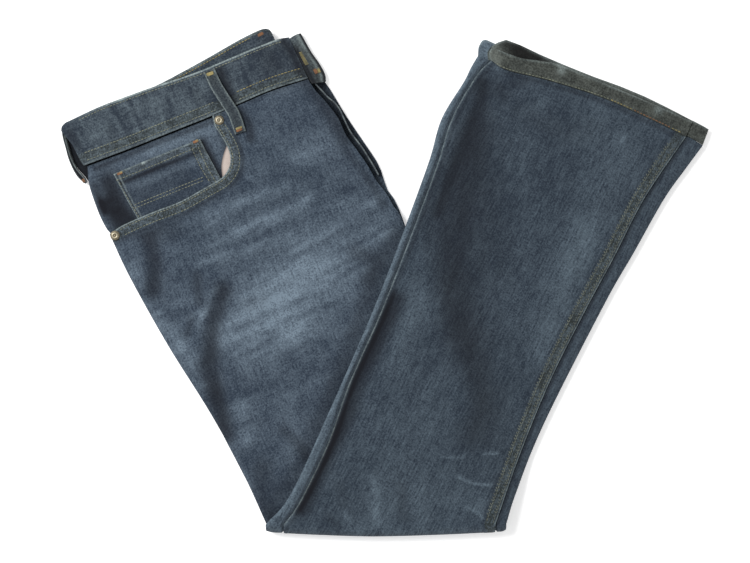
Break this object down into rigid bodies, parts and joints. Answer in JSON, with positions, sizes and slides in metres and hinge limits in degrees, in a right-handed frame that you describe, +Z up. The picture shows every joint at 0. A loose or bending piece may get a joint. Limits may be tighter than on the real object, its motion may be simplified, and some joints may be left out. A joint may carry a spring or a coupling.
{
  "type": "bootcut jeans, folded flat",
  "caption": "Dark indigo denim bootcut jeans, folded in half along the fly and up at the knee, lying flat.",
  "frame": {"origin": "middle of the folded jeans' footprint, on the surface they lie on", "axes": "+Z up, away from the surface; +X along the footprint's longer side, from the waist's left end to the hem; +Y away from the fold at the knee"},
  "size_m": [0.6486, 0.5079, 0.0284],
  "materials": {
    "denim": "matte",
    "denim_worn": "matte",
    "denim_olive": "matte",
    "lining": "matte",
    "brass": "satin"
  },
  "bodies": {
    "root": {"left_front": "denim", "left_back": "denim", "right_front": "denim", "hidden_layers": "denim", "waistband_right": "denim_worn", "waistband_left": "denim_worn", "waistband_back": "denim_olive", "waistband_left_end": "denim_worn", "left_fly": "denim", "belt_loop_front": "denim_worn", "belt_loop_side": "denim_worn", "pocket_facing": "denim", "coin_pocket": "denim_worn", "pocket_bag": "lining", "hem_left_front": "denim_olive", "hem_left_back": "denim_olive", "hem_right": "denim_worn", "rivet_waist": "brass", "rivet_side": "brass"}
  },
  "joints": []
}
